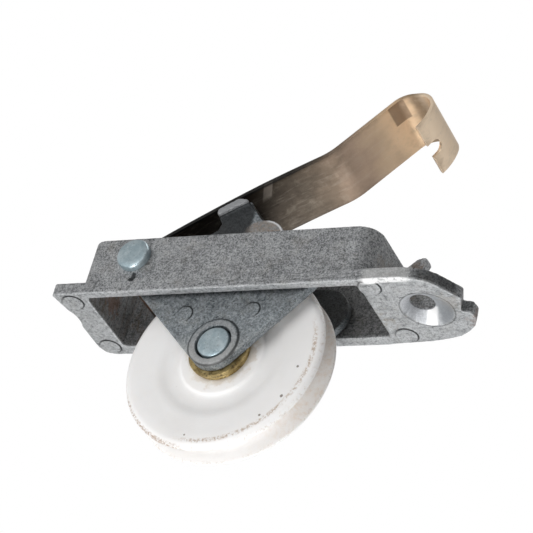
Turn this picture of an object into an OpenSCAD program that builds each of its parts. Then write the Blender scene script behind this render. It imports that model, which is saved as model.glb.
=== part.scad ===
// Spring-loaded sliding door roller.
// A grooved nylon wheel runs on a steel pin in a die-cast carrier. The carrier swings on a rivet
// inside a die-cast housing, and a leaf spring rolled round the same rivet rests on its saddle.
// Origin: middle of the wheel. +X towards the screw nose, +Y along the wheel's axle, +Z up.

/* [Wheel] */
// Diameter of the wheel over its two rims
wheel_d = 32; // [25:0.25:40]
// Width of the wheel over its side faces
wheel_w = 5.5; // [4:0.1:6]
// Depth of the running groove between the rims
groove_depth = 2.6; // [1:0.1:4]
// Width of the groove at its mouth
groove_w = 3.5; // [2:0.1:5]
// Outer diameter of the recessed ring in each side face
recess_d = 19.6; // [14:0.2:24]
// Diameter of the raised hub in the middle of each side face
hub_d = 13.8; // [10:0.2:18]
// Depth of the recessed ring
recess_depth = 0.7; // [0.2:0.1:1.2]

/* [Axle] */
// Diameter of the axle pin
pin_d = 5.1; // [3:0.1:6]
// Outer diameter of the brass bushing's barrel
bush_d = 6.8; // [5:0.1:9]
// Diameter of the bushing's two flanges
flange_d = 9.1; // [8:0.1:13]
// Diameter of the loose brass washers
washer_d = 9.6; // [8:0.1:13]

/* [Housing] */
// Width of the housing across its outer walls
housing_w = 16.45; // [14:0.05:22]
// Height of the channel walls above the underside
wall_h = 9.9; // [7:0.1:14]
// Thickness of the wall on the rivet-head side
near_wall_t = 1.45; // [1.2:0.05:2.5]
// Thickness of the wall on the rivet-tail side
far_wall_t = 2.05; // [1.2:0.05:2.5]
// Thickness of the foot and nose plates
plate_t = 2.1; // [1.5:0.1:3]
// Height of the housing's underside above the wheel centre
flange_z = 8.45; // [6:0.05:14]
// Outside corner radius of the channel at the foot end
foot_corner_r = 2.4; // [0.5:0.1:4]
// Outside corner radius of the channel at the nose end
nose_corner_r = 3.2; // [0.5:0.1:3.4]
// Wheel centre to the near corner of the foot
foot_x = -29.6; // [-34:0.1:-28]
// Wheel centre to the tip of the nose
nose_x = 36.4; // [32:0.1:42]
// Diameter of the screw hole in the nose
screw_d = 3.6; // [3:0.1:5]
// Diameter of its countersink at the underside
sink_d = 8; // [6:0.1:10]

/* [Carrier] */
// Rivet centre behind the wheel centre
pivot_x = -16.7; // [-20:0.1:-14]
// Rivet centre above the wheel centre
pivot_z = 14.86; // [12:0.1:18]
// Rivet shank diameter
rivet_d = 4; // [3:0.1:5]
// Rivet head diameter
head_d = 5.3; // [4:0.1:8]
// Outer face of each cheek plate from the middle plane
cheek_out = 6.05; // [5:0.05:7]
// Inner face of each cheek plate from the middle plane
cheek_in = 4.4; // [3.5:0.05:5.5]

/* [Spring] */
// Thickness of the spring strip
strip_t = 0.55; // [0.3:0.05:1]
// Width of the spring strip near the carrier
strip_w = 11.2; // [8:0.1:12]
// Slope of the arm where it leaves the rolled eye
arm_slope = 34.6; // [20:0.1:45]
// Width of the notch in the hook
notch_w = 2.75; // [1.5:0.05:4]

/* [Hidden] */
$fn = 96;
// Outer faces of the two side walls; the wheel sits a little nearer the rivet-head side
near_y = -8.1;
far_y = near_y + housing_w;
near_in = near_y + near_wall_t;
far_in = far_y - far_wall_t;
chan_x0 = -25.3;
chan_x1 = 22.9;
win_x0 = -23.9;
win_x1 = 21.45;
screw_x = 28.5;
screw_y = 0.2;
sink_x = 29.8;
sink_y = -0.1;
sink_depth = 1.7;
mark_proud = 0.16;
mark_d = 3.3;
wheel_r = wheel_d / 2;
clear_r = wheel_r + 0.85;
run_fit = 0.06;
cheek_mark_d = 2.6;
boss_r = 4.05;
boss_proud = 0.25;
// Height of the hub's face above the wheel's side face
hub_proud = 0.13;
ring_r = 2.88;
ring_depth = 0.9;
// Sleeve round the rivet that the spring's eye is rolled on
sleeve_r = 2.52;
eye_in = 2.6;
eye_mid = eye_in + strip_t / 2;
eye_turn = 280;
// The spring's side view from the inner end of its eye: length, turn in degrees, steps
spring_runs = [[eye_mid * eye_turn * PI / 180, -eye_turn, 44], [31.6, -6.7, 14], [3.2, 19.2, 6],
               [10.8, 0, 1], [3.2, -45.7, 8], [1.2, 0, 1], [3.9, -97.6, 14], [4.3, -31.5, 8]];
// Distance along the arm where the strip widens past the cheek plates
shoulder_run = 3.4;
notch_y = 0.5;

zinc = [0.58, 0.60, 0.63];
zinc_dark = [0.47, 0.50, 0.54];
plated = [0.66, 0.71, 0.74];
brass = [0.66, 0.53, 0.30];
nylon = [0.93, 0.93, 0.91];
bronze = [0.52, 0.45, 0.37];

// A side-view outline given width from y0 to y1
module side_slab(y0, y1) {
    translate([0, y1, 0]) rotate([90, 0, 0]) linear_extrude(y1 - y0) children();
}

// A round bar along Y
module cross_bar(r, y0, y1, x = 0, z = 0) {
    translate([x, y1, z]) rotate([90, 0, 0]) cylinder(r = r, h = y1 - y0);
}

// The waste outside a rounded corner at (x, y), with the body towards +sx, +sy
module corner_waste(x, y, sx, sy, r) {
    translate([x, y]) scale([sx, sy]) difference() {
        translate([-0.2, -0.2]) square(r + 0.2);
        translate([r, r]) circle(r);
    }
}

// A rectangle with corners of radius r0 at x0 and r1 at x1
module rounded_box_plan(x0, x1, y0, y1, r0, r1) {
    difference() {
        translate([x0, y0]) square([x1 - x0, y1 - y0]);
        corner_waste(x0, y0, 1, 1, r0);
        corner_waste(x0, y1, 1, -1, r0);
        corner_waste(x1, y0, -1, 1, r1);
        corner_waste(x1, y1, -1, -1, r1);
    }
}

// The foot's plan: its end slants in from the near corner, dips once, and rounds off at the far side
module foot_plan() {
    end_x = foot_x + 1.1;
    scallop_r = 4.7;
    difference() {
        polygon([[0, near_y + 0.1], [-20.5, near_y + 0.1], [-21.5, near_y], [foot_x, near_y],
                 [end_x, near_y + 5.6], [end_x, far_y], [0, far_y]]);
        corner_waste(end_x, far_y, 1, -1, 2.8);
        translate([foot_x, near_y]) rotate(45) translate([-1, -1]) square([1.3, 2]);
        translate([end_x - scallop_r + 0.4, near_y + 6.7]) circle(scallop_r);
    }
}

// The nose's plan: a blunt, lopsided end that narrows from the channel, with one step bitten out
module nose_plan() {
    offset(r = 0.5, $fn = 32) offset(delta = -0.5)
        polygon([[0, near_y + 0.1], [10, near_y + 0.1], [20, near_y], [28, near_y], [29.8, -7.8],
                 [31.9, -7.05], [33.2, -6], [34.6, -4.1], [nose_x - 0.5, -2.4], [nose_x - 1.65, 0.65],
                 [nose_x - 0.2, 1], [nose_x, 2.6], [nose_x - 0.8, 4.4], [nose_x - 2, 5.6],
                 [nose_x - 3.8, 6.8], [nose_x - 6, 7.4], [nose_x - 9.1, 7.9], [23.5, 8.05],
                 [20, far_y], [0, far_y]]);
}

// The tapered seat for the screw's head, leaning towards the nose tip
module screw_sink() {
    hull() {
        translate([sink_x, sink_y, flange_z - 0.01]) cylinder(d = sink_d, h = 0.01, $fn = 32);
        translate([screw_x, screw_y, flange_z + sink_depth]) cylinder(d = screw_d, h = 0.01, $fn = 32);
    }
}

// The leaning lug behind the end wall, with a low rib beside the screw hole
module catch_lug() {
    side_slab(2.1, 3.6) offset(r = 0.7, $fn = 32) offset(delta = -0.7)
        polygon([[21.7, 9.4], [21.7, 16], [24.9, 19.3], [26.3, 19.7], [26.8, 18.9],
                 [26.1, 16.6], [26.8, 14.4], [29.2, 12.9], [29.8, 9.4]]);
}

module housing() {
    color(zinc) difference() {
        union() {
            translate([0, 0, flange_z]) linear_extrude(wall_h)
                rounded_box_plan(chan_x0, chan_x1, near_y + 0.1, far_y, foot_corner_r, nose_corner_r);
            translate([0, 0, flange_z]) linear_extrude(plate_t) foot_plan();
            translate([0, 0, flange_z]) linear_extrude(plate_t) nose_plan();
            catch_lug();
            // Round marks of the ejector pins, a little proud of the underside
            for (p = [[23.1, -6.15], [24.2, 6], [-26.7, -5.9], [-26.2, 6]])
                translate([p[0], p[1], flange_z - mark_proud])
                    cylinder(d = mark_d, h = mark_proud + 1, $fn = 48);
        }
        // The channel, open at the top and at the window below
        translate([0, 0, flange_z - 1]) linear_extrude(wall_h + 2)
            rounded_box_plan(win_x0, win_x1, near_in, far_in, 0.8, 0.8);
        // Holes for the rivet
        cross_bar(rivet_d / 2, near_y - 1, far_y + 1, pivot_x, pivot_z);
        // Screw hole and its seat
        translate([screw_x, screw_y, flange_z - 1]) cylinder(d = screw_d, h = plate_t + 2);
        screw_sink();
    }
}

// Side view of a cheek plate: rivet eye, axle eye and rounded top corner
module cheek_side() {
    hull() {
        translate([pivot_x, pivot_z]) circle(3, $fn = 32);
        circle(boss_r, $fn = 48);
        translate([10, 12.1]) circle(4.3, $fn = 32);
    }
}

// Side view of the saddle that stands up from the cheeks to meet the spring
module saddle_side(lift) {
    offset(r = 0.8, $fn = 24) offset(delta = -0.8)
        polygon([[-7.6, 13], [-7.2, 19.3], [-5, 20.6], [-4.7, 21.8], [-6.1, 23.9],
                 [-2.5, 26 + lift], [-0.9, 25.6 + lift], [2.5, 21.5], [4, 16]]);
    translate([2.6, 17.9]) circle(4.1);
}

module wheel_carrier() {
    color(zinc_dark) difference() {
        union() {
            side_slab(-cheek_out, -cheek_in) { cheek_side(); saddle_side(0); }
            side_slab(cheek_in, cheek_out - 0.1) { cheek_side(); saddle_side(0); }
            // The bridge over the wheel, a little inside the cheeks' outline
            side_slab(-cheek_in - 0.6, cheek_in + 0.6) offset(delta = -0.5) saddle_side(1.25);
            // Lip along the top of the near saddle
            side_slab(-cheek_out - 0.7, -cheek_out + 0.5) intersection() {
                offset(delta = -0.1) saddle_side(0.1);
                translate([-5.9, 23.1]) rotate(29) translate([-1.5, -0.45]) square([7.2, 2]);
            }
            // Raised rings round the ends of the axle pin
            cross_bar(boss_r - 0.12, -cheek_out - boss_proud, -cheek_out + 0.5);
            cross_bar(boss_r - 0.12, cheek_out - 0.6, cheek_out);
            // Ejector pin marks on the near cheek
            for (p = [[-6.35, 5.3], [4.8, 5.5]])
                cross_bar(cheek_mark_d / 2, -cheek_out - 0.12, -cheek_out + 0.5, p[0], p[1]);
        }
        // Room for the wheel between the cheeks
        cross_bar(clear_r, -cheek_in, cheek_in);
        cross_bar(pin_d / 2, near_y, far_y);
        cross_bar(ring_r, -cheek_out - 1, -cheek_out - boss_proud + ring_depth);
        cross_bar(ring_r, cheek_out - ring_depth + 0.2, cheek_out + 1);
        cross_bar(rivet_d / 2 + run_fit, near_y, far_y, pivot_x, pivot_z);
    }
}

// A point at fraction f of a run that starts at p with slope h
function along(p, h, run, turn, f) =
    turn == 0 ? p + run * f * [cos(h), sin(h)]
    : let (r = run / (turn * PI / 180))
      p + r * [sin(h + turn * f) - sin(h), cos(h) - cos(h + turn * f)];

// Start of run i, as [point, slope]
function run_start(i) =
    i == 0 ? [[pivot_x - eye_mid * sin(arm_slope + eye_turn), pivot_z + eye_mid * cos(arm_slope + eye_turn)],
              arm_slope + eye_turn]
    : let (a = run_start(i - 1), g = spring_runs[i - 1])
      [along(a[0], a[1], g[0], g[1], 1), a[1] + g[1]];

// Every station of the strip, as [point, slope]
function stations() = concat([run_start(0)],
    [for (i = [0 : len(spring_runs) - 1])
        let (a = run_start(i), g = spring_runs[i])
        for (k = [1 : g[2]])
            [along(a[0], a[1], g[0], g[1], k / g[2]), a[1] + g[1] * k / g[2]]]);

module strip_side() {
    st = stations();
    n = len(st);
    polygon(concat(
        [for (i = [0 : n - 1]) st[i][0] + strip_t / 2 * [-sin(st[i][1]), cos(st[i][1])]],
        [for (i = [n - 1 : -1 : 0]) st[i][0] - strip_t / 2 * [-sin(st[i][1]), cos(st[i][1])]]));
}

// The arm in plan: it leans a little to the far side and narrows towards its hook
module strip_plan() {
    h = strip_w / 2;
    translate([0, -0.15])
        polygon([[-25, -h], [0, -h], [30, -h + 0.65], [30, h + 0.4], [0, h], [-25, h]]);
}

module leaf_spring() {
    eye_w = 2 * cheek_in - 0.5;
    root = run_start(1);
    tip = stations()[len(stations()) - 1];
    color(bronze) difference() {
        intersection() {
            side_slab(-strip_w, strip_w) strip_side();
            linear_extrude(60) strip_plan();
        }
        // The eye is narrower than the arm, to fit between the cheek plates
        for (side = [-1, 1])
            translate([root[0][0], side * (eye_w / 2 + 2), root[0][1]]) rotate([0, -arm_slope, 0])
                translate([shoulder_run - 12, -2, -10]) cube([12, 4, 20]);
        // Round-ended notch in the lower edge of the hook
        translate([tip[0][0], notch_y, tip[0][1]]) rotate([0, -tip[1] - 180, 0]) {
            translate([1, 0, -3]) cylinder(d = notch_w, h = 6, $fn = 48);
            translate([-3, -notch_w / 2, -3]) cube([4, notch_w, 6]);
        }
    }
}

module pivot_rivet() {
    r = rivet_d / 2;
    hr = head_d / 2;
    color(plated) translate([pivot_x, 0, pivot_z]) rotate([-90, 0, 0])
        rotate_extrude() polygon([[0, near_y - 1.05], [hr - 0.25, near_y - 1.05], [hr, near_y - 0.8],
            [hr, near_y + 0.1], [r, near_y + 0.1], [r, far_y], [hr - 0.1, far_y], [hr - 0.3, far_y + 0.5],
            [hr - 1, far_y + 0.85], [0, far_y + 0.95]]);
}

module pivot_sleeve() {
    color(plated) difference() {
        cross_bar(sleeve_r, -cheek_in + 0.12, cheek_in - 0.12, pivot_x, pivot_z);
        cross_bar(rivet_d / 2, near_y, far_y, pivot_x, pivot_z);
    }
}

module axle_pin() {
    r = pin_d / 2;
    y0 = -cheek_out - boss_proud;
    color(plated) rotate([-90, 0, 0])
        rotate_extrude() polygon([[0, y0], [r - 0.2, y0], [r, y0 + 0.2], [r, cheek_out - 0.25],
            [r - 0.2, cheek_out - 0.05], [0, cheek_out - 0.05]]);
}

module wheel() {
    w = wheel_w / 2;
    rr = recess_d / 2;
    hr = hub_d / 2;
    hub_w = w + hub_proud;
    root = wheel_r - groove_depth;
    gw = groove_w / 2;
    // One half of the section, from the bore out to the rim
    half = [[bush_d / 2, hub_w], [hr - 0.3, hub_w], [hr, hub_w - 0.3], [hr + 0.25, w - recess_depth],
            [rr - 0.25, w - recess_depth], [rr, w - 0.1], [rr + 0.1, w], [wheel_r - 1.1, w],
            [wheel_r - 0.4, w - 0.2], [wheel_r, w - 0.65], [wheel_r, gw + 0.1], [wheel_r - 0.1, gw],
            [root + 0.7, gw - 0.75], [root + 0.15, gw - 1.1], [root, gw - 1.45]];
    n = len(half);
    color(nylon) rotate([-90, 0, 0]) rotate_extrude()
        polygon(concat(half, [for (i = [n - 1 : -1 : 0]) [half[i][0], -half[i][1]]]));
}

module hub_bushing() {
    b = pin_d / 2 + run_fit;
    hub_w = wheel_w / 2 + hub_proud;
    color(brass) difference() {
        union() {
            cross_bar(bush_d / 2, -hub_w, hub_w);
            cross_bar(flange_d / 2, -hub_w - 0.65, -hub_w);
            cross_bar(flange_d / 2, hub_w, hub_w + 0.65);
        }
        cross_bar(b, near_y, far_y);
    }
}

module thrust_washer(y0, y1) {
    color(brass) difference() {
        cross_bar(washer_d / 2, y0, y1);
        cross_bar(pin_d / 2 + 0.08, y0 - 1, y1 + 1);
    }
}

module near_thrust_washer() {
    thrust_washer(-cheek_in, -cheek_in + 0.75);
}

module far_thrust_washer() {
    thrust_washer(cheek_in - 0.75, cheek_in);
}

housing();
wheel_carrier();
leaf_spring();
pivot_rivet();
pivot_sleeve();
axle_pin();
wheel();
hub_bushing();
near_thrust_washer();
far_thrust_washer();
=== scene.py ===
import math
import bmesh
import bpy
from mathutils import Vector, Matrix


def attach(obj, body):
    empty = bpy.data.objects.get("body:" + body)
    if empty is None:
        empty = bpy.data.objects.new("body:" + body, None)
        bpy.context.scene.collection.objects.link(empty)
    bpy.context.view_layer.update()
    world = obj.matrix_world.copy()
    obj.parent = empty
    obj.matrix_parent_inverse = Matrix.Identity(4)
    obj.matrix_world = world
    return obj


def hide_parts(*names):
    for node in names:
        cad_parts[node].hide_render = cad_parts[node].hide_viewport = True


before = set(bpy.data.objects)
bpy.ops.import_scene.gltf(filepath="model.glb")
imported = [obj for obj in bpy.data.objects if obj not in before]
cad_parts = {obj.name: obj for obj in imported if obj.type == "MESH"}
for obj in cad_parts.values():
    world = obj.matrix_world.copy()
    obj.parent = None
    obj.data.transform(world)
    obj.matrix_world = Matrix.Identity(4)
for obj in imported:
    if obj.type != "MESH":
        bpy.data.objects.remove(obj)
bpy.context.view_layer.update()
MM = 0.001

# ---------------------------------------------------------------- sizes, in mm and degrees
# X runs along the housing to its nose, Y along the axle away from the rivet's head, and Z up
# towards the door. The origin is the middle of the wheel.
WHEEL_R = 15.99
WHEEL_HALF = 5.5 / 2
HUB_HALF = WHEEL_HALF + 0.13
PIVOT = (-16.7, 14.86)
CHEEK_OUT = 6.05
CHEEK_IN = 4.4
FLANGE_Z = 8.45
NEAR_Y = -8.1
FAR_Y = 8.35
CHANNEL_X = (-23.95, 21.5)
CHANNEL_Y = (-6.75, 6.4)

# The screw hole; the rim of its leaning seat, a little nearer the nose; and the wider circle
# under the plate where the cut for the seat starts
SCREW = (28.5, 0.2)
SCREW_R = 1.84
SEAT = (29.8, -0.1)
SEAT_R = 4.1
SEAT_CUT = (29.92, -0.13)
SEAT_CUT_R = 4.4

# Ejector pin marks: (x, y) under the housing's plates and (x, z) on the carrier's near cheek
HOUSING_MARKS = ((23.1, -6.15), (24.2, 6.0), (-26.7, -5.9), (-26.2, 6.0))
CHEEK_MARKS = ((-6.35, 5.3), (4.8, 5.5))

# The round shoulder beside the carrier's saddle
SHOULDER = (2.6, -CHEEK_OUT, 17.9)
SHOULDER_R = 4.1

# The spring's strip. It is narrow at its rolled eye and widens WIDEN_START past it, over
# WIDEN_RUN. Beyond the wheel's middle its two edges drift by their tapers, per mm of X. Its runs
# are (length, turn, steps) from the inner end of the eye.
STRIP_T = 0.55
STRIP_W = 11.2
STRIP_SHIFT = -0.15
NEAR_TAPER = 0.65 / 30
FAR_TAPER = 0.4 / 30
WIDEN_START = 2.9
WIDEN_RUN = 0.9
NOTCH_Y = 0.5
NOTCH_R = 2.75 / 2
EYE_W = 2 * CHEEK_IN - 0.5
EYE_MID = 2.6 + STRIP_T / 2
ARM_SLOPE = 34.6
EYE_TURN = 280
SPRING_RUNS = (
    (EYE_MID * math.radians(EYE_TURN), -EYE_TURN, 60),
    (31.6, -6.7, 30),
    (3.2, 19.2, 12),
    (10.8, 0, 8),
    (3.2, -45.7, 16),
    (1.2, 0, 1),
    (3.9, -97.6, 28),
    (4.3, -31.5, 16),
)

# Cast skin: the remeshed grid, its rounds of smoothing, the die's grain and the faces kept
VOXEL = 0.15
SOFT_ROUNDS = 4
GRAIN_SIZE = 0.55
GRAIN_DEPTH = 0.05
FACES_KEPT = 0.3

# Angles above which a shaded edge stays sharp
CAST_SHARP = 40
TURNED_SHARP = 32
WHEEL_SHARP = 45
STRIP_SHARP = 30

# The camera and the studio
VIEW_AZIMUTH = 33.06
VIEW_ELEVATION = -32.30
VIEW_ROLL = 16.21
VIEW_AIM = (5.93, -7.21, 12.40)
VIEW_DISTANCE = 381.6
SENSOR_WIDTH = 36
LENS = 176.1
LIGHT_AIM = (5, 0, 12)
FLOOR_Z = -600


# ---------------------------------------------------------------- node helpers
class Nodes:
    """A small builder for one node tree. self.mm is the position it works from: the object's own
    in millimetres for a material, and the direction for the world."""

    def __init__(self, tree, source, scale):
        self.t = tree
        tc = tree.nodes.new("ShaderNodeTexCoord")
        m = tree.nodes.new("ShaderNodeMapping")
        m.inputs["Scale"].default_value = (scale, scale, scale)
        tree.links.new(tc.outputs[source], m.inputs["Vector"])
        self.mm = m.outputs[0]

    def link(self, a, b):
        if isinstance(a, (int, float)):
            b.default_value = a
        elif isinstance(a, tuple):
            b.default_value = a if len(a) == len(b.default_value) else (*a, 1)
        else:
            self.t.links.new(a, b)

    def noise(self, scale, detail=3, rough=0.55, vec=None):
        n = self.t.nodes.new("ShaderNodeTexNoise")
        n.inputs["Scale"].default_value = scale
        n.inputs["Detail"].default_value = detail
        n.inputs["Roughness"].default_value = rough
        self.link(vec or self.mm, n.inputs["Vector"])
        return n.outputs["Fac"]

    def stretch(self, s):
        """The position scaled by s along each axis."""
        m = self.t.nodes.new("ShaderNodeMapping")
        m.inputs["Scale"].default_value = s
        self.link(self.mm, m.inputs["Vector"])
        return m.outputs[0]

    def ramp(self, fac, lo, hi, a=0.0, b=1.0, smooth=True):
        n = self.t.nodes.new("ShaderNodeMapRange")
        n.interpolation_type = "SMOOTHSTEP" if smooth else "LINEAR"
        self.link(fac, n.inputs[0])
        for i, v in enumerate((lo, hi, a, b)):
            n.inputs[i + 1].default_value = v
        return n.outputs[0]

    def math(self, op, a, b=0.0):
        n = self.t.nodes.new("ShaderNodeMath")
        n.operation = op
        self.link(a, n.inputs[0])
        self.link(b, n.inputs[1])
        return n.outputs[0]

    def mix(self, fac, a, b):
        n = self.t.nodes.new("ShaderNodeMix")
        n.data_type = "RGBA"
        self.link(fac, n.inputs[0])
        self.link(a, n.inputs[6])
        self.link(b, n.inputs[7])
        return n.outputs[2]

    def xyz(self):
        n = self.t.nodes.new("ShaderNodeSeparateXYZ")
        self.link(self.mm, n.inputs[0])
        return n.outputs

    def dot(self, vec):
        """Distance along a direction."""
        n = self.t.nodes.new("ShaderNodeVectorMath")
        n.operation = "DOT_PRODUCT"
        self.link(self.mm, n.inputs[0])
        n.inputs[1].default_value = vec
        return n.outputs["Value"]

    def away(self, x, y, z):
        """Distance in mm from a point."""
        n = self.t.nodes.new("ShaderNodeVectorMath")
        n.operation = "DISTANCE"
        self.link(self.mm, n.inputs[0])
        n.inputs[1].default_value = (x, y, z)
        return n.outputs["Value"]

    def round_axle(self):
        """Distance in mm from the axle's centre line."""
        x, _, z = self.xyz()
        squares = self.math("ADD", self.math("MULTIPLY", x, x), self.math("MULTIPLY", z, z))
        return self.math("SQRT", squares)

    def across(self, vec, point, before, after, a, b):
        """Runs from a to b along a direction, from before to after a point, in mm."""
        middle = sum(v * p for v, p in zip(vec, point))
        return self.ramp(self.dot(vec), middle - before, middle + after, a, b)

    def both(self, *masks):
        """The product of masks."""
        out = masks[0]
        for m in masks[1:]:
            out = self.math("MULTIPLY", out, m)
        return out

    def band(self, value, lo, hi, soft=0.1):
        """1 where value lies between lo and hi."""
        above = self.ramp(value, lo - soft, lo + soft)
        below = self.ramp(value, hi + soft, hi - soft)
        return self.both(above, below)

    def spot(self, x, y, z, r, soft=0.5, wobble=0.6):
        """1 near the point (mm), 0 beyond r, with a ragged edge."""
        edge = self.ramp(self.noise(1.3, 4), 0.2, 0.8, -wobble * r, wobble * r)
        return self.ramp(self.math("ADD", self.away(x, y, z), edge), r, r * (1 - soft))

    def total(self, *weighted):
        """The sum of (value, weight) pairs."""
        out = None
        for value, weight in weighted:
            part = self.math("MULTIPLY", value, weight)
            out = part if out is None else self.math("ADD", out, part)
        return out


class Shader(Nodes):
    """One procedural material."""

    def __init__(self, name):
        self.mat = bpy.data.materials.new(name)
        self.mat.use_nodes = True
        tree = self.mat.node_tree
        tree.nodes.clear()
        super().__init__(tree, "Object", 1 / MM)
        out = tree.nodes.new("ShaderNodeOutputMaterial")
        self.bsdf = tree.nodes.new("ShaderNodeBsdfPrincipled")
        tree.links.new(self.bsdf.outputs[0], out.inputs[0])

    def set(self, **kw):
        for k, v in kw.items():
            self.bsdf.inputs[k.replace("_", " ")].default_value = v

    def bump(self, height, strength, distance):
        """Distance is in metres."""
        n = self.t.nodes.new("ShaderNodeBump")
        n.inputs["Strength"].default_value = strength
        n.inputs["Distance"].default_value = distance
        self.link(height, n.inputs["Height"])
        self.link(n.outputs[0], self.bsdf.inputs["Normal"])

    def paint(self, amount, over, under):
        """Lays a colour over another where amount says so."""
        return self.mix(amount, under, over)

    def stains(self, spots, c):
        """Lays (x, y, z, radius, strength, colour) stains over a colour."""
        for x, y, z, r, strength, stain in spots:
            c = self.paint(self.math("MULTIPLY", self.spot(x, y, z, r), strength), stain, c)
        return c

    def color(self, c):
        self.link(c, self.bsdf.inputs["Base Color"])

    def rough(self, r):
        self.link(r, self.bsdf.inputs["Roughness"])


# ---------------------------------------------------------------- mesh helpers
def new_object(name, me):
    ob = bpy.data.objects.new(name, me)
    bpy.context.scene.collection.objects.link(ob)
    return ob


def mesh_object(name, bm):
    """Makes bm an object with its faces turned outwards."""
    bmesh.ops.recalc_face_normals(bm, faces=bm.faces)
    me = bpy.data.meshes.new(name)
    bm.to_mesh(me)
    bm.free()
    return new_object(name, me)


def bake(ob):
    """Applies ob's modifiers to a fresh mesh."""
    bpy.context.view_layer.update()
    dg = bpy.context.evaluated_depsgraph_get()
    me = bpy.data.meshes.new_from_object(ob.evaluated_get(dg))
    ob.modifiers.clear()
    old = ob.data
    ob.data = me
    if old.users == 0:
        bpy.data.meshes.remove(old)


def shade(ob, angle):
    """Smooth shading with edges sharper than angle (degrees) left crisp."""
    for p in ob.data.polygons:
        p.use_smooth = True
    ob.data.set_sharp_from_angle(angle=math.radians(angle))


def settle(ob, node, body, mat):
    """Gives a piece its material, and puts it on its body in place of its CAD node."""
    ob.data.materials.append(mat)
    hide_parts(node)
    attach(ob, body)


def circle(r, steps, x=0.0, y=0.0, z=0.0):
    """Points of a level circle."""
    angles = [2 * math.pi * i / steps for i in range(steps)]
    return [(x + r * math.cos(a), y + r * math.sin(a), z) for a in angles]


def lathe(name, profile, x=0.0, z=0.0, steps=96, angle=TURNED_SHARP):
    """Turns (radius, y) points round the axis through (x, z) along Y; all in mm.

    A profile that starts on the axis ends on it; any other is closed into a ring."""
    bm = bmesh.new()
    rings = []
    for r, y in profile:
        points = circle(r, steps) if r > 0 else [(0, 0, 0)]
        rings.append([bm.verts.new(((x + u) * MM, y * MM, (z + v) * MM)) for u, v, _ in points])
    pairs = list(zip(rings, rings[1:]))
    if len(rings[0]) > 1:
        pairs.append((rings[-1], rings[0]))
    for a, b in pairs:
        for i in range(steps):
            j = (i + 1) % steps
            if len(a) == 1:
                bm.faces.new((a[0], b[j], b[i]))
            elif len(b) == 1:
                bm.faces.new((a[i], a[j], b[0]))
            else:
                bm.faces.new((a[i], a[j], b[j], b[i]))
    ob = mesh_object(name, bm)
    shade(ob, angle)
    return ob


def make_tool(rings, place=Matrix()):
    """A closed solid on a stack of rings of points, in mm, moved by place."""
    bm = bmesh.new()
    rows = [[bm.verts.new(p) for p in ring] for ring in rings]
    for a, b in zip(rows, rows[1:]):
        for i in range(len(a)):
            j = (i + 1) % len(a)
            bm.faces.new((a[i], a[j], b[j], b[i]))
    bm.faces.new(rows[0][::-1])
    bm.faces.new(rows[-1])
    bm.transform(Matrix.Scale(MM, 4) @ place)
    return mesh_object("tool", bm)


def carve(ob, tool, operation="DIFFERENCE"):
    m = ob.modifiers.new("cut", "BOOLEAN")
    m.operation = operation
    m.solver = "EXACT"
    m.object = tool
    bake(ob)
    me = tool.data
    bpy.data.objects.remove(tool)
    bpy.data.meshes.remove(me)


def casting(name, node):
    """A cast piece: the CAD node's solid with softened edges and the shallow grain a die leaves."""
    ob = new_object(name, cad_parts[node].data.copy())
    ob.data.materials.clear()
    skin = ob.modifiers.new("skin", "REMESH")
    skin.mode = "VOXEL"
    skin.voxel_size = VOXEL * MM
    soft = ob.modifiers.new("soft", "SMOOTH")
    soft.factor = 0.5
    soft.iterations = SOFT_ROUNDS
    clouds = bpy.data.textures.new("die_grain", "CLOUDS")
    clouds.noise_scale = GRAIN_SIZE * MM
    clouds.noise_depth = 2
    grain = ob.modifiers.new("grain", "DISPLACE")
    grain.texture = clouds
    grain.strength = GRAIN_DEPTH * MM
    grain.mid_level = 1.0
    thin = ob.modifiers.new("thin", "DECIMATE")
    thin.ratio = FACES_KEPT
    bake(ob)
    return ob


def pin_mark(ob, point, axis, r, proud):
    """The slightly tilted round pad that an ejector pin leaves on a cast face."""
    sunk = 0.5
    edge = 0.05
    middle = 0.02
    profile = ((middle, -sunk), (r, -sunk), (r, proud - edge), (r - edge, proud), (middle, proud))
    tilt = Vector((0, 0, 1)).rotation_difference(Vector(axis)).to_matrix().to_4x4()
    rings = [circle(radius, 48, z=height) for radius, height in profile]
    carve(ob, make_tool(rings, Matrix.Translation(point) @ tilt), "UNION")


def leaning_cone(low, r0, high, r1):
    """A cone frustum between two level circles that need not be one above the other."""
    return make_tool([circle(r0, 64, *low), circle(r1, 64, *high)])


# ---------------------------------------------------------------- materials
# The two near-black colours serve for grime and also for painted shade; the last two are painted
# highlights.
RUST = (0.20, 0.085, 0.04)
GREASE_AND_SHADE = (0.030, 0.026, 0.021)
BUFF = (0.30, 0.25, 0.19)
SOOT_AND_SHADE = (0.014, 0.015, 0.016)
PAINTED_HIGHLIGHT = (0.85, 0.86, 0.87)
HIGHLIGHT_WHITE = (1, 1, 1)

# Stains: x, y, z, radius, strength, colour
HOUSING_STAINS = (
    (25.2, 2.1, 18.0, 1.0, 0.55, (0.17, 0.11, 0.07)),
    (21.5, 2, 12, 4.5, 0.4, BUFF),
    (-24, 0, 12.5, 2.6, 0.5, RUST),
    (33.5, -1.5, 8.5, 2.4, 0.25, BUFF),
    (36.6, 3.4, 9.2, 2.0, 0.35, (0.24, 0.14, 0.10)),
    # The next two are painted shade on the wall under the rivet's head.
    (-15.9, -8.1, 11.2, 0.8, 0.9, SOOT_AND_SHADE),
    (-16.3, -8.1, 10.6, 0.5, 0.9, SOOT_AND_SHADE),
    (23.1, -2.5, 13, 3.2, 0.35, BUFF),
)
CARRIER_STAINS = (
    (4.4, -5.9, 19.3, 0.8, 0.8, RUST),
    (-14.2, -5.5, 10.4, 0.9, 0.9, RUST),
)
SPRING_STAINS = ((-15.8, 0, 11.6, 3.6, 0.7, RUST),)

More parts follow.
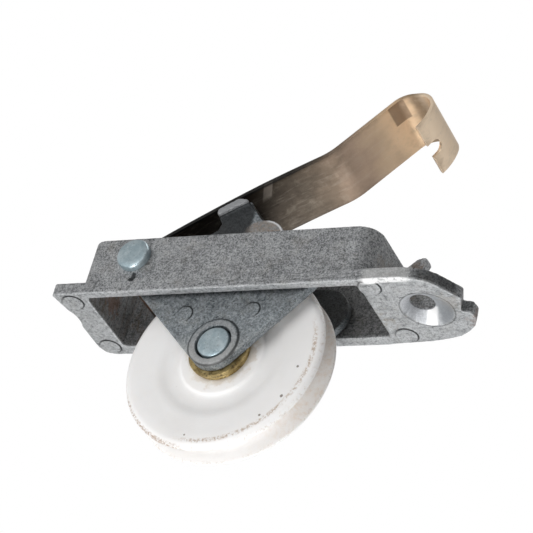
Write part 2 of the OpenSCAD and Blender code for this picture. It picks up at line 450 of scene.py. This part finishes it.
# Specks on the wheel's near face: x, z, radius
WHEEL_SPECKS = (
    (-6.4, -5.2, 0.30),
    (12.9, -2.4, 0.28),
    (11.6, -7.4, 0.33),
    (8.9, -10.6, 0.22),
    (-2.5, -13.7, 0.2),
)

# Colours of the spring along x, from nearly black at the carrier to straw at the hook: a little temper
# tint, and mostly painted shade towards the carrier and painted light towards the hook
TEMPER_AND_SHADE = (
    (-4, (0.025, 0.019, 0.013)),
    (-0.2, (0.050, 0.037, 0.025)),
    (4.6, (0.090, 0.069, 0.049)),
    (9, (0.178, 0.131, 0.092)),
    (12.5, (0.353, 0.256, 0.187)),
    (15.8, (0.512, 0.374, 0.250)),
    (18, (0.716, 0.508, 0.322)),
    (21.4, (0.363, 0.256, 0.162)),
    (24, (0.86, 0.69, 0.51)),
)


def cast_zinc(name, dark, light):
    """Mottled, slightly pitted die-cast metal. Returns its shader and its colour, for more paint."""
    s = Shader(name)
    s.set(Metallic=0.6)
    tone = s.total(
        (s.ramp(s.noise(0.16, 5, 0.6), 0.3, 0.7), 0.16),
        (s.ramp(s.noise(0.8, 6, 0.7), 0.3, 0.7), 0.22),
        (s.ramp(s.noise(1.7, 5, 0.8), 0.4, 0.6), 0.26),
        (s.ramp(s.noise(3.4, 4, 0.8), 0.42, 0.58), 0.36))
    c = s.mix(tone, dark, light)
    c = s.paint(s.ramp(s.noise(0.35, 4, 0.6), 0.5, 0.75, 0, 0.3), (0.27, 0.25, 0.21), c)
    c = s.paint(s.ramp(s.noise(2.6, 4, 0.75), 0.57, 0.64, 0, 0.7), SOOT_AND_SHADE, c)
    s.rough(s.ramp(s.noise(1.9, 5, 0.7), 0.3, 0.7, 0.36, 0.56))
    s.bump(s.total((s.noise(2.4, 6, 0.75), 0.7), (s.noise(7.0, 3, 0.6), 0.3)), 1.0, 0.00013)
    return s, c


def housing_material():
    s, c = cast_zinc("cast_zinc", (0.085, 0.09, 0.095), (0.57, 0.58, 0.59))
    x, y, z = s.xyz()
    # Painted light: the level underside is painted brighter than the walls, in mottled patches
    underside_light = s.both(s.ramp(z, FLANGE_Z + 0.4, FLANGE_Z + 0.15), s.ramp(s.noise(1.4, 5, 0.8), 0.35, 0.6))
    c = s.paint(s.both(underside_light, 0.55), (0.68, 0.70, 0.71), c)
    # Fine scratches along the foot of the near wall
    scratch = s.ramp(s.noise(1.0, 3, 0.6, vec=s.stretch((0.35, 1, 5.0))), 0.50, 0.62)
    foot = s.both(s.band(z, 8.4, 13.5, 0.8), s.ramp(x, -12, 2))
    c = s.paint(s.both(scratch, foot, 0.45), (0.10, 0.105, 0.11), c)
    # Darker inside the channel, with brown streaks towards the foot
    inside = s.both(s.band(x, *CHANNEL_X), s.band(y, *CHANNEL_Y), s.ramp(z, 8.5, 9.1))
    c = s.paint(s.math("MULTIPLY", inside, 0.30), GREASE_AND_SHADE, c)
    streak = s.ramp(s.noise(1.1, 4, 0.7, vec=s.stretch((1.3, 1.3, 0.3))), 0.45, 0.62, 0, 0.5)
    c = s.paint(s.both(inside, streak, s.ramp(x, -10, -18)), (0.16, 0.10, 0.06), c)
    # Dark outlines round the raised pin marks: dirt in the joint, with painted shade making them
    # heavier on the nose side
    for px, py in HOUSING_MARKS:
        d = s.away(px, py, FLANGE_Z - 0.1)
        side = s.across((0.8, -0.6, 0), (px, py, 0), 1.6, 1.2, 0.35, 1.0)
        c = s.paint(s.both(s.band(d, 1.6, 1.86, 0.08), side, s.ramp(z, 9.0, 8.7)), SOOT_AND_SHADE, c)
    # The rim of the screw's seat, and the seat itself: pale, with painted shade on its right and a
    # painted white highlight (glare)
    seat = s.away(*SEAT, FLANGE_Z)
    rim = s.both(s.band(seat, SEAT_R - 0.05, SEAT_R + 0.15, 0.1), s.ramp(z, 8.9, 8.6))
    c = s.paint(s.both(rim, 0.55), SOOT_AND_SHADE, c)
    sink = s.both(s.ramp(seat, SEAT_R, SEAT_R - 0.2), s.band(z, 8.55, 10.1, 0.08))
    c = s.paint(s.math("MULTIPLY", sink, 0.6), (0.62, 0.64, 0.67), c)
    c = s.paint(s.both(sink, s.ramp(x, 30.2, 31.2), 0.6), (0.24, 0.26, 0.28), c)
    glare = s.both(sink, s.band(s.dot((0.97, 0.22, 0)), 28.2, 29.9, 0.3), s.ramp(y, 1.0, 1.5))
    c = s.paint(glare, HIGHLIGHT_WHITE, c)
    # Painted light on the near side of the nose up to its corner, and a painted highlight along its
    # lower edge
    pale = s.both(s.ramp(y, -7.0, -7.4), s.band(x, 22.5, 29.6, 0.8), s.ramp(z, 10.9, 10.5))
    c = s.paint(s.both(pale, 0.4), (0.72, 0.72, 0.71), c)
    edge_highlight = s.both(pale, s.ramp(z, 8.85, 8.7), s.ramp(s.noise(1.6, 4, 0.8), 0.36, 0.5))
    c = s.paint(s.both(edge_highlight, 0.95), HIGHLIGHT_WHITE, c)
    # Painted shade on the near side of the nose past its corner, and on the face of the step bitten out
    # of its tip
    dark_side = s.both(s.ramp(x, 29.5, 31.0), s.ramp(y, -3.0, -3.6), s.band(z, 8.9, 10.7))
    c = s.paint(s.math("MULTIPLY", dark_side, 0.6), SOOT_AND_SHADE, c)
    step = s.both(s.band(x, 34.3, 36.2), s.band(y, -0.2, 2.0), s.ramp(z, 8.7, 8.9))
    c = s.paint(s.both(step, 0.25), SOOT_AND_SHADE, c)
    c = s.stains(HOUSING_STAINS, c)
    s.color(c)
    return s.mat


def carrier_material():
    s, c = cast_zinc("cast_zinc_carrier", (0.068, 0.083, 0.096), (0.43, 0.465, 0.485))
    x, y, z = s.xyz()
    # Painted light and shade: the near cheek is painted paler low down and darker in a band under the
    # housing's wall, and the faces inside are painted dark as shade
    near = s.ramp(y, -5.6, -5.9)
    c = s.paint(s.both(near, s.ramp(z, 2.5, -3, 0, 0.45)), (0.62, 0.62, 0.60), c)
    c = s.paint(s.both(near, s.band(z, 5.5, 12, 1.5), 0.22), GREASE_AND_SHADE, c)
    c = s.paint(s.both(s.ramp(s.math("ABSOLUTE", y), 4.75, 4.45), 0.6), GREASE_AND_SHADE, c)
    c = s.paint(s.both(s.ramp(y, 3.9, 4.3), 0.15), GREASE_AND_SHADE, c)
    # Dark outlines round the raised pin marks: dirt in the joint, with painted shade making them
    # heavier on one side
    for px, pz in CHEEK_MARKS:
        ring = s.band(s.away(px, -CHEEK_OUT, pz), 1.24, 1.46, 0.07)
        side = s.across((0.8, 0, 0.6), (px, 0, pz), 1.3, 1.0, 0.25, 0.9)
        c = s.paint(s.both(ring, side), SOOT_AND_SHADE, c)
    # Round the axle: painted shade at the foot of the raised ring, a lighter band on the ring, and
    # painted shade in the gap round the pin's end
    r = s.round_axle()
    c = s.paint(s.both(near, s.band(r, 3.88, 4.2, 0.1), 0.75), SOOT_AND_SHADE, c)
    c = s.paint(s.both(near, s.band(r, 3.0, 3.7, 0.15), 0.35), (0.42, 0.42, 0.42), c)
    c = s.paint(s.both(s.band(r, 2.5, 2.86, 0.04), s.ramp(y, -5.0, -5.3), 0.95), SOOT_AND_SHADE, c)
    # Painted shadow on the saddle's face under its lip, painted light on the lip, and a painted
    # highlight along the lip's edge
    c = s.paint(s.both(near, s.band(z, 18.9, 26, 0.4), s.ramp(x, 0.9, 0.2), 0.88), SOOT_AND_SHADE, c)
    lip = s.both(s.ramp(y, -6.25, -6.4), s.ramp(z, 18, 19))
    c = s.paint(s.both(lip, 0.8), (0.42, 0.43, 0.44), c)
    edge = s.band(s.dot((-0.485, 0, 0.875)), 22.0, 22.35, 0.08)
    glint = s.both(lip, edge, s.band(x, -6, -1.5, 0.3))
    c = s.paint(s.both(glint, 0.9), PAINTED_HIGHLIGHT, c)
    # A pale, speckled, rusty shoulder, with a painted highlight on its rim
    d = s.away(*SHOULDER)
    disc = s.ramp(d, SHOULDER_R, SHOULDER_R - 0.2)
    shoulder = s.both(near, disc, s.ramp(z, 18.2, 18.8), s.ramp(x, -0.6, 1.0))
    speckle = s.ramp(s.noise(1.5, 5, 0.8), 0.35, 0.6, 0.2, 0.9)
    c = s.paint(s.both(shoulder, speckle), (0.33, 0.28, 0.24), c)
    rim = s.both(s.band(d, SHOULDER_R - 0.4, SHOULDER_R, 0.1), s.ramp(x, 2.6, 3.6))
    c = s.paint(s.both(shoulder, rim, 0.9), PAINTED_HIGHLIGHT, c)
    c = s.stains(CARRIER_STAINS, c)
    s.color(c)
    return s.mat


def plated_material():
    s = Shader("plated_steel")
    s.set(Metallic=0.75)
    c = s.mix(s.ramp(s.noise(0.7, 5, 0.65), 0.3, 0.7), (0.33, 0.42, 0.46), (0.50, 0.58, 0.61))
    c = s.paint(s.ramp(s.noise(2.2, 4, 0.75), 0.58, 0.70, 0, 0.8), (0.10, 0.12, 0.12), c)
    c = s.paint(s.ramp(s.noise(3.1, 4, 0.7), 0.60, 0.70, 0, 0.7), (0.75, 0.80, 0.82), c)
    s.color(c)
    s.rough(s.ramp(s.noise(2.2, 4), 0.2, 0.8, 0.30, 0.52))
    s.bump(s.noise(2.0, 5, 0.7), 0.5, 0.0001)
    return s.mat


def brass_material():
    s = Shader("brass")
    s.set(Metallic=0.85)
    c = s.mix(s.ramp(s.noise(0.7, 5, 0.65), 0.3, 0.7), (0.24, 0.17, 0.065), (0.60, 0.47, 0.22))
    c = s.paint(s.ramp(s.noise(1.9, 4, 0.7), 0.50, 0.66, 0, 0.85), (0.07, 0.05, 0.025), c)
    s.color(c)
    s.rough(s.ramp(s.noise(2.2, 4), 0.2, 0.8, 0.30, 0.55))
    s.bump(s.noise(3.0, 4, 0.7), 0.4, 0.00008)
    return s.mat


def nylon_material():
    s = Shader("white_nylon")
    s.set(Subsurface_Weight=0.2, Subsurface_Scale=0.001, IOR=1.5)
    s.bsdf.inputs["Subsurface Radius"].default_value = (1.0, 0.92, 0.85)
    x, y, _ = s.xyz()
    r = s.round_axle()
    c = s.mix(s.ramp(s.noise(0.12, 3), 0.35, 0.7), (0.93, 0.92, 0.912), (0.88, 0.868, 0.855))
    # Dust in the running groove, browner on the nose side
    groove = s.both(s.band(y, -1.9, 1.9, 0.2), s.ramp(r, 12.0, 12.9))
    dust = s.ramp(s.noise(0.6, 6, 0.8), 0.42, 0.70, 0.1, 0.75)
    c = s.paint(s.both(groove, dust, s.ramp(x, 3, 15, 0.05, 0.8)), (0.72, 0.58, 0.45), c)
    # Grit on the rims
    rim = s.both(s.ramp(r, 15.3, 15.9), s.ramp(s.noise(1.7, 7, 0.85), 0.52, 0.62))
    c = s.paint(s.both(rim, 0.45), (0.40, 0.28, 0.18), c)
    # A stippled brown line where the near side face turns into the rim
    grit = s.ramp(s.noise(2.8, 5, 0.85), 0.45, 0.57)
    near = s.ramp(y, -2.0, -2.4)
    lower_right = s.band(s.dot((0.75, 0, -0.66)), 7.5, 16.5, 2.5)
    broken = s.ramp(s.noise(0.7, 3), 0.34, 0.46)
    line = s.both(near, grit, s.band(r, 14.4, 15.0, 0.25), lower_right, broken)
    c = s.paint(s.both(line, 0.8), (0.42, 0.29, 0.19), c)
    left = s.both(s.ramp(r, 15.35, 15.7), s.band(s.dot((-0.62, 0, -0.78)), 14.2, 17, 0.8), grit)
    c = s.paint(s.both(left, s.ramp(y, 0, -1), 0.9), (0.30, 0.18, 0.10), c)
    for px, pz, size in WHEEL_SPECKS:
        c = s.paint(s.both(s.spot(px, -WHEEL_HALF, pz, size, 0.4, 0.3), 0.85), (0.16, 0.12, 0.09), c)
    # Grease creeping out from the hub
    hub = s.ramp(s.math("ADD", r, s.ramp(s.noise(0.8, 4), 0.2, 0.8, -1.2, 1.2)), 6.1, 4.9)
    c = s.paint(s.both(hub, 0.35), (0.55, 0.44, 0.30), c)
    s.color(c)
    s.rough(s.ramp(s.noise(0.9, 5), 0.25, 0.75, 0.34, 0.5))
    turned = s.math("SINE", s.math("MULTIPLY", r, 22.0))
    s.bump(s.total((turned, 0.05), (s.noise(1.6, 5, 0.7), 1)), 0.15, 0.00008)
    return s.mat


def spring_material():
    s = Shader("spring_steel")
    s.set(Metallic=0.7)
    x, y, z = s.xyz()
    # Painted light and shade along x, with a little temper tint, from the table of colours above
    wander = s.ramp(s.noise(0.25, 4, 0.6), 0.25, 0.75, -1.2, 1.2)
    place = s.math("ADD", x, wander)
    c = TEMPER_AND_SHADE[0][1]
    for (x0, _), (x1, col) in zip(TEMPER_AND_SHADE, TEMPER_AND_SHADE[1:]):
        c = s.paint(s.ramp(place, x0, x1, smooth=False), col, c)
    c = s.paint(s.ramp(s.noise(0.5, 5, 0.7), 0.5, 0.75, 0, 0.25), (0.30, 0.27, 0.22), c)
    streak = s.noise(1.0, 4, 0.6, vec=s.stretch((0.25, 1.6, 0.25)))
    c = s.paint(s.ramp(streak, 0.5, 0.75, 0, 0.12), (0.60, 0.53, 0.45), c)
    # A painted shadow of the hook's tab near the hook, and a painted reflection of the saddle as a pale
    # wedge beside the saddle, both on the underside
    under_hook = s.ramp(s.dot((-0.664, 0, 0.748)), 20.1, 19.95)
    across = s.band(y, -5.3, -1.2, 0.08)
    tab_shadow = s.both(s.band(x, 17.75, 19.85), s.ramp(z, 41.6, 41.9), across, under_hook)
    c = s.paint(s.both(tab_shadow, 0.8), (0.20, 0.135, 0.085), c)
    under_arm = s.ramp(s.dot((-0.487, 0, 0.874)), 25.25, 25.1)
    slanted = s.band(s.dot((1, 0.45, 0)), -2.1, -0.8, 0.12)
    saddle_reflection = s.both(slanted, s.ramp(y, -2.4, -3.6), s.ramp(x, -1.2, -0.6), s.ramp(z, 31, 30), under_arm)
    c = s.paint(s.both(saddle_reflection, 0.7), (0.30, 0.26, 0.22), c)
    # The near edge darkened, fading out towards the hook
    c = s.paint(s.both(s.ramp(y, -5.15, -5.45), s.ramp(x, 14, 4), 0.8), SOOT_AND_SHADE, c)
    c = s.stains(SPRING_STAINS, c)
    s.color(c)
    s.rough(s.ramp(s.noise(0.9, 5), 0.2, 0.8, 0.34, 0.48))
    s.bump(s.total((streak, 0.3), (s.noise(2.2, 5, 0.7), 1)), 0.2, 0.00008)
    return s.mat


# ---------------------------------------------------------------- pieces
def make_housing():
    ob = casting("die_cast_housing", "housing")
    for x, y in HOUSING_MARKS:
        pin_mark(ob, (x, y, FLANGE_Z), (0.06, -0.05, -1), 1.65, 0.12)
    # The screw's seat leans, and its hole goes through in a second cut
    start = (*SEAT_CUT, FLANGE_Z - 0.3)
    end = (*SCREW, FLANGE_Z + 1.72)
    carve(ob, leaning_cone(start, SEAT_CUT_R, end, SCREW_R - 0.02))
    low = (*SCREW, FLANGE_Z + 1.0)
    high = (*SCREW, FLANGE_Z + 2.8)
    carve(ob, leaning_cone(low, SCREW_R, high, SCREW_R))
    shade(ob, CAST_SHARP)
    settle(ob, "housing", "housing", housing_material())


def make_carrier():
    ob = casting("die_cast_carrier", "wheel_carrier")
    for x, z in CHEEK_MARKS:
        pin_mark(ob, (x, -CHEEK_OUT, z), (0.05, -1, 0.07), 1.3, 0.09)
    shade(ob, CAST_SHARP)
    settle(ob, "wheel_carrier", "carrier", carrier_material())


def make_wheel():
    r = WHEEL_R
    w = WHEEL_HALF
    hub = [(3.4, HUB_HALF), (6.5, HUB_HALF), (6.72, HUB_HALF - 0.06), (6.86, HUB_HALF - 0.2),
           (7.08, HUB_HALF - 0.32)]
    side = [(7.3, w - 0.24), (7.6, w - 0.28), (8.3, w - 0.29), (9.0, w - 0.27), (9.5, w - 0.2),
            (10.0, w - 0.09), (10.5, w - 0.02), (11.0, w), (11.5, w), (13.5, w)]
    rim = [(r - 1.15, w), (r - 0.8, w - 0.06), (r - 0.45, w - 0.2), (r - 0.18, w - 0.42),
           (r - 0.04, w - 0.62), (r, w - 0.75), (r, 1.9), (r - 0.06, 1.8), (r - 0.25, 1.68)]
    groove = [(14.6, 1.42), (14.0, 1.1), (13.6, 0.75), (13.36, 0.38), (13.28, 0.0)]
    half = hub + side + rim + groove
    other_half = [(radius, -y) for radius, y in half[-2::-1]]
    ob = lathe("nylon_wheel", half + other_half, steps=192, angle=WHEEL_SHARP)
    settle(ob, "wheel", "wheel", nylon_material())


def make_brass():
    """The hub's bushing and the two thrust washers."""
    mat = brass_material()
    bore = 2.61
    flange = 4.55
    half = [(bore, HUB_HALF + 0.5), (bore + 0.15, HUB_HALF + 0.65), (flange - 0.2, HUB_HALF + 0.65),
            (flange, HUB_HALF + 0.45), (flange, HUB_HALF + 0.12), (flange - 0.1, HUB_HALF),
            (3.4, HUB_HALF)]
    ob = lathe("brass_bushing", half + [(r, -y) for r, y in half[::-1]])
    settle(ob, "hub_bushing", "wheel", mat)
    inner = CHEEK_IN - 0.75
    outer = CHEEK_IN
    washer = [(2.63, inner), (4.65, inner), (4.8, inner + 0.12), (4.8, outer - 0.12), (4.65, outer),
              (2.63, outer)]
    for side, node in ((-1, "near_thrust_washer"), (1, "far_thrust_washer")):
        ob = lathe("brass_" + node, [(r, side * y) for r, y in washer])
        settle(ob, node, "carrier", mat)


def make_steel():
    """The axle pin, the pivot rivet and the sleeve on it."""
    mat = plated_material()
    r = 2.55
    y0 = -CHEEK_OUT - 0.25
    y1 = CHEEK_OUT - 0.05
    pin = [(0, y0 + 0.02), (1.2, y0 + 0.01), (r - 0.28, y0), (r - 0.1, y0 + 0.06), (r, y0 + 0.22),
           (r, y1 - 0.22), (r - 0.1, y1 - 0.06), (r - 0.28, y1), (0, y1)]
    settle(lathe("steel_axle_pin", pin), "axle_pin", "carrier", mat)
    h = 2.65
    n = NEAR_Y
    f = FAR_Y
    head = [(0, n - 1.03), (1.4, n - 1.05), (h - 0.42, n - 1.02), (h - 0.16, n - 0.92),
            (h - 0.03, n - 0.74), (h, n - 0.5), (h - 0.02, n + 0.1), (2.0, n + 0.1)]
    tail = [(2.0, f), (h - 0.1, f), (h - 0.18, f + 0.3), (h - 0.5, f + 0.62), (h - 1.1, f + 0.85),
            (0.9, f + 0.93), (0, f + 0.95)]
    ob = lathe("steel_pivot_rivet", head + tail, *PIVOT)
    settle(ob, "pivot_rivet", "housing", mat)
    e = CHEEK_IN - 0.12
    sleeve = [(2.01, -e), (2.4, -e), (2.52, -e + 0.12), (2.52, e - 0.12), (2.4, e), (2.01, e)]
    ob = lathe("steel_pivot_sleeve", sleeve, *PIVOT)
    settle(ob, "pivot_sleeve", "housing", mat)


def spring_path():
    """Stations (x, z, slope) of the strip's middle from the inner end of its eye."""
    h = math.radians(ARM_SLOPE + EYE_TURN)
    x = PIVOT[0] - EYE_MID * math.sin(h)
    z = PIVOT[1] + EYE_MID * math.cos(h)
    out = [(x, z, h)]
    for length, turn, n in SPRING_RUNS:
        dt = math.radians(turn) / n
        step = length / n
        if turn:
            step = 2 * (step / dt) * math.sin(dt / 2)
        for _ in range(n):
            x += step * math.cos(h + dt / 2)
            z += step * math.sin(h + dt / 2)
            h += dt
            out.append((x, z, h))
    return out


def strip_edges(x, run):
    """The strip's two edges (y) at x, where run is its length past the eye."""
    if run <= 0:
        return -EYE_W / 2 + 0.02, EYE_W / 2 - 0.02
    wide = max(0.0, min(1.0, (run - WIDEN_START) / WIDEN_RUN))
    past = max(0.0, x)
    near = -EYE_W / 2 + wide * (-STRIP_W / 2 + STRIP_SHIFT + NEAR_TAPER * past + EYE_W / 2)
    far = EYE_W / 2 + wide * (STRIP_W / 2 + STRIP_SHIFT + FAR_TAPER * past - EYE_W / 2)
    return near + 0.02, far - 0.02


def notch_tool(x, z, slope):
    """The round-ended slot across the lower edge of the hook, whose end is at (x, z)."""
    r = NOTCH_R
    angles = [math.pi * i / 24 for i in range(1, 24)]
    round_end = [(1.0 + r * math.sin(a), -r * math.cos(a)) for a in angles]
    outline = [(-3, -r), (1.0, -r), *round_end, (1.0, r), (-3, r)]
    rings = [[(u, v + NOTCH_Y, level) for u, v in outline] for level in (-2.2, 2.2)]
    turn = Matrix.Rotation(-(slope + math.pi), 4, "Y")
    return make_tool(rings, Matrix.Translation((x, 0, z)) @ turn)


def make_spring():
    path = spring_path()
    eye_end = SPRING_RUNS[0][2]
    cols = 12
    run = 0.0
    bm = bmesh.new()
    grid = []
    for i, (x, z, h) in enumerate(path):
        if i > eye_end:
            run += math.hypot(x - path[i - 1][0], z - path[i - 1][1])
        near, far = strip_edges(x, run)
        ys = [near + (far - near) * c / cols for c in range(cols + 1)]
        rows = []
        for half in (STRIP_T / 2, -STRIP_T / 2):
            px = x - math.sin(h) * half
            pz = z + math.cos(h) * half
            rows.append([bm.verts.new((px * MM, y * MM, pz * MM)) for y in ys])
        grid.append(rows)
    for a, b in zip(grid, grid[1:]):
        for c in range(cols):
            bm.faces.new((a[0][c], b[0][c], b[0][c + 1], a[0][c + 1]))
            bm.faces.new((a[1][c], a[1][c + 1], b[1][c + 1], b[1][c]))
        for c in (0, cols):
            bm.faces.new((a[0][c], a[1][c], b[1][c], b[0][c]))
    for g in (grid[0], grid[-1]):
        for c in range(cols):
            bm.faces.new((g[0][c], g[0][c + 1], g[1][c + 1], g[1][c]))
    ob = mesh_object("bronzed_leaf_spring", bm)
    carve(ob, notch_tool(*path[-1]))
    edge = ob.modifiers.new("edge", "BEVEL")
    edge.width = 0.07 * MM
    edge.segments = 2
    edge.limit_method = "ANGLE"
    edge.angle_limit = math.radians(40)
    bake(ob)
    shade(ob, STRIP_SHARP)
    settle(ob, "leaf_spring", "spring", spring_material())


make_housing()
make_carrier()
make_wheel()
make_brass()
make_steel()
make_spring()


# ---------------------------------------------------------------- studio
def make_camera():
    az, el, roll = (math.radians(a) for a in (VIEW_AZIMUTH, VIEW_ELEVATION, VIEW_ROLL))
    back = Vector((math.sin(az) * math.cos(el), -math.cos(az) * math.cos(el), math.sin(el)))
    level = Vector((math.cos(az), math.sin(az), 0))
    upright = back.cross(level)
    right = level * math.cos(roll) + upright * math.sin(roll)
    up = upright * math.cos(roll) - level * math.sin(roll)
    cam = bpy.data.cameras.new("camera")
    cam.sensor_width = SENSOR_WIDTH
    cam.lens = LENS
    cam.clip_start = 0.01
    cam.clip_end = 20
    ob = new_object("camera", cam)
    pose = Matrix((right, up, back)).transposed().to_4x4()
    pose.translation = Vector(VIEW_AIM) * MM + back * VIEW_DISTANCE * MM
    ob.matrix_world = pose
    bpy.context.scene.camera = ob


def area_light(name, direction, distance, size, watts):
    """Distance and size are in metres."""
    lamp = bpy.data.lights.new(name, "AREA")
    lamp.size = size
    lamp.energy = watts
    ob = new_object(name, lamp)
    v = Vector(direction).normalized()
    ob.location = v * distance + Vector(LIGHT_AIM) * MM
    ob.rotation_euler = v.to_track_quat("Z", "Y").to_euler()


def make_world():
    """White behind the object; the light it gives falls off upwards and towards the upper right."""
    world = bpy.data.worlds.new("studio")
    bpy.context.scene.world = world
    world.use_nodes = True
    tree = world.node_tree
    w = Nodes(tree, "Generated", 1)
    overhead = w.ramp(w.xyz()[2], -0.3, 0.6, 0.98, 0.50)
    upper_right = w.ramp(w.dot((0.71, -0.46, 0.53)), 0.45, 0.9, 1.0, 0.15)
    seen = tree.nodes.new("ShaderNodeLightPath").outputs["Is Camera Ray"]
    background = tree.nodes["Background"]
    background.inputs["Color"].default_value = (1, 1, 1, 1)
    w.link(w.math("MAXIMUM", w.both(overhead, upper_right), seen), background.inputs["Strength"])


def make_floor():
    bm = bmesh.new()
    bmesh.ops.create_grid(bm, x_segments=1, y_segments=1, size=4)
    bm.transform(Matrix.Translation((0, 0, FLOOR_Z * MM)))
    floor = mesh_object("floor", bm)
    s = Shader("pale_floor")
    s.color(s.mix(s.noise(0.002, 2), (0.80, 0.80, 0.80), (0.84, 0.84, 0.84)))
    s.set(Roughness=0.9)
    floor.data.materials.append(s.mat)


make_camera()
make_world()
area_light("below", (0.01, -0.30, -0.95), 0.5, 0.2, 1.5)
area_light("front", (-0.25, -0.95, -0.15), 0.6, 0.35, 1.0)
area_light("back", (0.23, 0.70, -0.67), 0.6, 0.45, 1.3)
area_light("top", (0.2, 0.1, 1), 0.6, 0.4, 1.2)
make_floor()
bpy.context.scene.view_settings.view_transform = "Standard"
